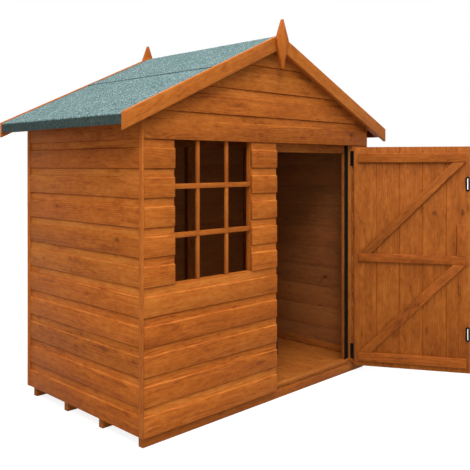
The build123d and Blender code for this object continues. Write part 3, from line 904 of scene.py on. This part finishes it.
def make_magnets():
    """The magnets that the keepers meet on the stop, in cases that show two pole strips each."""
    low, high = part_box("magnet_catches")
    half_pole, pole_deep, pole_end, pole_proud = 0.0014, 0.006, 0.012, 0.0012
    cases, poles = [], []
    for z in (low.z, high.z - catch_tall):
        cases.append(block(low.x, high.x, low.y + pole_proud, high.y, z, z + catch_tall))
        for share in (0.3, 0.7):
            x = low.x + (high.x - low.x) * share
            poles.append(block(x - half_pole, x + half_pole, low.y, low.y + pole_deep,
                               z + pole_end, z + catch_tall - pole_end))
    add_piece("magnet_cases", soften(join_meshes("magnet_cases", cases), 0.0018, 3), "catch_case",
              "root", ["magnet_catches"])
    add_piece("magnet_poles", soften(join_meshes("magnet_poles", poles), 0.0003), "catch_case", "root",
              material=nail_steel)


def make_ironmongery():
    """Hinge leaves, pull handle and seal, with their sharp edges taken off."""
    for node, arris in (("post_hinge_leaves", 0.0003), ("door_hinge_leaves", 0.0003),
                        ("door_handle", 0.0007), ("door_seal_strip", 0.0007)):
        eased_copy(node, arris, "finished")


# Fixings, by Geometry Nodes

def fixing_tree():
    """Geometry Nodes: one head, set on every point and turned to face out of the work."""
    graph, given = new_tree("fixings_on_points", {
        "Head": "Object", "Size": "Float", "Seed": "Int", "Finish": "Material"})
    facing = graph.add("GeometryNodeInputNamedAttribute", {"Name": "facing"}, data_type="FLOAT_VECTOR")
    aim = graph.add("FunctionNodeAlignRotationToVector", {"Vector": facing}, axis="Z")
    chance = graph.add("FunctionNodeRandomValue", {"Seed": given["Seed"]}, data_type="FLOAT")
    spin = graph.vector(0.0, 0.0, graph.num(chance.outputs[1]) * math.tau)
    turn = graph.add("FunctionNodeEulerToRotation", {0: spin})
    aimed = graph.add("FunctionNodeRotateRotation", {0: aim, 1: turn}, rotation_space="LOCAL")
    head = graph.add("GeometryNodeObjectInfo", {"Object": given["Head"]})
    size = graph.vector(*[graph.num(given["Size"])] * 3)
    laid = graph.add("GeometryNodeInstanceOnPoints", {
        "Points": given["Geometry"], "Instance": head.outputs["Geometry"], "Rotation": aimed,
        "Scale": size})
    return end_tree(graph, laid, given["Finish"])


fixings_on_points = fixing_tree()


def ring_points(radius, z):
    """Ten points round a level circle about the upright axis."""
    turns = [math.tau * i / 10 for i in range(10)]
    return [(radius * math.cos(turn), radius * math.sin(turn), z) for turn in turns]


def nail_head():
    """Head of a nail of radius 1, slightly domed, with its foot below the surface."""
    return lofted("nail_head", [ring_points(1.0, -0.3), ring_points(1.0, 0.12), ring_points(0.6, 0.3)])


def screw_head():
    """Countersunk head of radius 1 with a cross recess."""
    arm, half = 0.62, 0.13
    cross = []
    for quarter in range(4):
        turn = Matrix.Rotation(math.radians(90) * quarter, 2)
        cross += [turn @ Vector(p) for p in ((arm, -half), (arm, half), (half, half))]
    outer = [p.normalized() for p in cross]
    loops = [[(p.x * share, p.y * share, z) for p in outline] for outline, share, z in (
        (outer, 0.45, -0.6), (outer, 1, -0.08), (outer, 1, 0), (cross, 1, 0.02), (cross, 0.7, -0.35))]
    return lofted("screw_head", loops)


def add_fixings(name, places, radius, material, slot, body, seed, head=nail_head):
    """Heads of one radius on (point, facing) places, as one piece on a body."""
    points, facings = zip(*places)
    base = plain_mesh("places", points)
    keep_values(base, "facing", np.array(facings))
    holder = new_object("head", head())
    mesh = run_tree(base, fixings_on_points, {
        "Head": holder, "Size": radius, "Seed": seed, "Finish": material})
    bpy.data.objects.remove(holder)
    add_piece(name, mesh, slot, body, material=material)


def rows_of_nails(xs, rows, foot, y, facing, turn=None, limit=None):
    """Nails through the flat of each board at each stud, with a maker's small unevenness."""
    above_foot, clear_of_edge = 0.024, 0.03
    dice = random.Random(f"nails {len(xs)} {foot} {y}")
    places = []
    for row in range(rows):
        for x in xs:
            spot = Vector((x + dice.uniform(-0.004, 0.004), y,
                           foot + row * board_cover + above_foot + dice.uniform(-0.003, 0.003)))
            if limit is None or spot.z < limit(x) - clear_of_edge:
                places.append((turn @ spot if turn else spot, facing))
    return places


def make_cladding_nails():
    """Nails that hold the wall boards to the studs and posts behind them."""
    nail_radius = 0.0017
    end = half_width - clad_thick - half_stud
    left_of_door = [-end, window_left - half_stud, window_right + half_stud, door_left - half_stud]
    right_of_door = [door_right + half_stud, end - 0.008]
    front, behind = [], []
    for xs, rows, foot, limit in (
            (left_of_door, 5, clad_foot, None), (left_of_door, 5, sill_line, None),
            (right_of_door, 10, clad_foot, None),
            ([-end, -0.5 * end, 0, 0.5 * end, end], 5, gable_line, roof_under)):
        front += rows_of_nails(xs, rows, foot, front_face, to_front, limit=limit)
    studs = [-end + 2 * end * i / 3 for i in range(4)]
    reach = (back_face - front_face) / 2 - clad_thick - stud_deep - half_stud
    for wall, xs, rows, facing, limit in (
            ("back", studs, 15, to_back, roof_under),
            ("left", [-reach, reach], 11, to_left, None), ("right", [-reach, reach], 11, to_right, None)):
        behind += rows_of_nails(xs, rows, clad_foot, 0, facing, wall_places[wall], limit)
    for name, places, seed in (("front_nails", front, 3), ("side_and_back_nails", behind, 4)):
        add_fixings(name, places, nail_radius, nail_steel, "cladding_wood", "root", seed)


def make_trim_nails():
    """Pins in the bargeboards, and the clout nails of the felt."""
    pin_radius, clout_radius = 0.0016, 0.0032
    low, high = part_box("bargeboards_left")
    pins = []
    for x in (0.1, 0.36, 0.62, 0.85):
        for sign in (-1, 1):
            for down in (0.022, 0.050):
                z = high.z - roof_slope * x - down
                pins += [((sign * x, low.y, z), to_front), ((sign * x, high.y, z), to_back)]
    add_fixings("trim_pins", pins, pin_radius, nail_steel, "trim_wood", "root", 5)
    low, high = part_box("roof_felt_eaves")
    count, end = 13, 0.03
    above_fold, eaves_sunk = 0.016, 0.0011
    inside_lap, lap_sunk = 0.018, 0.0008
    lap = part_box("roof_felt_ridge")[1].x - inside_lap
    clouts = []
    for i in range(count):
        y = low.y + end + (high.y - low.y - 2 * end) * i / (count - 1)
        for sign in (-1, 1):
            clouts += [((sign * (high.x - eaves_sunk), y, low.z + above_fold), (sign, 0, 0)),
                       ((sign * lap, y, roof_top(lap, 2) - lap_sunk),
                        (sign * pitch_rise, 0, pitch_run))]
    add_fixings("felt_clouts", clouts, clout_radius, clout_zinc, "roof_felt", "root", 6)


def make_door_fixings():
    """Nails through the boards into the ledges, and the screws of the hinges and the handle."""
    nail_radius, screw_radius = 0.0018, 0.0036
    place = door_place()
    door = node_body["door_boards"]
    low, high = shut_box("door_boards")
    cover = (high.x - low.x) / door_rows
    ledges = ((0.622, 0.008, 0.006), (0.095, 0.012, 0.012), (1.146, 0.012, 0.012))
    heights = [z for middle, below, above in ledges for z in (middle - below, middle + above)]
    nails = [((low.x + cover * (i + share), low.y, z), to_front)
             for z in heights for i in range(door_rows) for share in (0.25, 0.75)]
    hinges = shut_box("door_hinge_leaves")
    leaf_proud, on_door, on_post = 0.0018, 0.006, 0.0085
    moving, fixed = [], []
    for foot in (hinges[0].z, hinges[1].z - hinge_tall):
        for up in (0.012, 0.040, 0.068):
            z = foot + up
            moving.append(((high.x + leaf_proud, low.y + on_door, z), to_right))
            fixed.append(((door_right - leaf_proud, front_face + on_post, z), to_left))
    handle_low, handle_high = shut_box("door_handle")
    from_end, foot_thick = 0.009, 0.004
    x = (handle_low.x + handle_high.x) / 2
    for z in (handle_low.z + from_end, handle_high.z - from_end):
        moving.append(((x, low.y - foot_thick, z), to_front))
    nails, moving = [[(place @ Vector(p), place.to_3x3() @ Vector(f)) for p, f in places]
                     for places in (nails, moving)]
    add_fixings("door_nails", nails, nail_radius, nail_steel, "door_wood", door, 7)
    iron = finishes["black_iron"]
    add_fixings("door_screws", moving, screw_radius, iron, "black_iron", door, 8, screw_head)
    add_fixings("post_screws", fixed, screw_radius, iron, "black_iron", "root", 9, screw_head)


make_walls()
make_floor_boards()
make_roof_boards()
make_door_boards()
make_timbers()
make_window_bars()
make_roof_felt()
make_keepers()
make_magnets()
make_ironmongery()
make_cladding_nails()
make_trim_nails()
make_door_fixings()


# Stage, light and camera

def empty_graph(holder):
    """The graph of a material or a world, without any nodes."""
    holder.use_nodes = True
    holder.node_tree.nodes.clear()
    return Graph(holder.node_tree)


def show_white(graph, light, white, output):
    """End a tree in one shader for the rays that light the scene, and a white one where it is seen."""
    path = graph.add("ShaderNodeLightPath").outputs
    seen = graph.num(path["Is Camera Ray"])
    for ray in ("Is Glossy Ray", "Is Transmission Ray"):
        seen = seen.most(graph.num(path[ray]))
    choice = graph.add("ShaderNodeMixShader", {0: seen, 1: light, 2: white})
    graph.add(output, {0: choice})


def make_stage():
    """A plain white floor that keeps a faint shadow."""
    size = 14.0
    corners = [(-size, -size, 0), (size, -size, 0), (size, size, 0), (-size, size, 0)]
    mesh = plain_mesh("floor", corners, [(0, 1, 2, 3)])
    floor = new_object("stage_floor", mesh)
    material = bpy.data.materials.new("white_floor")
    graph = empty_graph(material)
    glow = graph.add("ShaderNodeEmission", {"Color": (1, 1, 1, 1), "Strength": 0.86})
    faint = graph.add("ShaderNodeBsdfDiffuse", {"Color": (0.3, 0.3, 0.3, 1)})
    lit = graph.add("ShaderNodeAddShader", {0: glow, 1: faint})
    bounce = graph.add("ShaderNodeBsdfDiffuse", {"Color": (0.34, 0.34, 0.34, 1)})
    show_white(graph, bounce, lit, "ShaderNodeOutputMaterial")
    mesh.materials.append(material)


def make_world(strength):
    """White to the camera, and a soft light that is stronger from above."""
    world = bpy.data.worlds.new("white_world")
    bpy.context.scene.world = world
    graph = empty_graph(world)
    up = graph.split(graph.add("ShaderNodeTexCoord").outputs["Generated"])[2]
    sky = up.smooth(0.0, 1.0, strength * 0.3, strength * 2.1)
    light = graph.add("ShaderNodeBackground", {"Color": (1.0, 0.985, 0.965, 1), "Strength": sky})
    white = graph.add("ShaderNodeBackground", {"Color": (1, 1, 1, 1), "Strength": 1.0})
    show_white(graph, light, white, "ShaderNodeOutputWorld")


def area_light(name, place, aim, size, power, colour=(1, 1, 1)):
    """A soft square lamp that points at a place."""
    lamp = bpy.data.lights.new(name, "AREA")
    lamp.shape = "SQUARE"
    lamp.size = size
    lamp.energy = power
    lamp.color = colour
    thing = new_object(name, lamp)
    thing.location = place
    thing.rotation_euler = (Vector(aim) - Vector(place)).to_track_quat("-Z", "Y").to_euler()


def make_camera():
    """The photograph's eye level view from the front left."""
    camera = bpy.data.cameras.new("camera")
    camera.sensor_width = 36.0
    camera.lens = 51.24
    camera.shift_y = -0.1506
    thing = new_object("camera", camera)
    thing.location = (-2.348, -2.119, 1.112)
    thing.rotation_euler = (math.radians(90), 0, math.radians(-45))
    bpy.context.scene.camera = thing


make_stage()
make_world(0.54)
area_light("key_front_left", (-5.0, -5.3, 7.7), (0, 0.2, 0.7), size=3.6, power=470,
           colour=(1, 0.98, 0.95))
area_light("low_fill_left", (-6.0, -4.4, 1.4), (0, 0.2, 0.4), size=3.5, power=75)
area_light("top_soft", (-0.6, -1.0, 7.5), (0, 0.2, 0), size=4.0, power=400)
make_camera()
bpy.context.scene.view_settings.view_transform = "Standard"
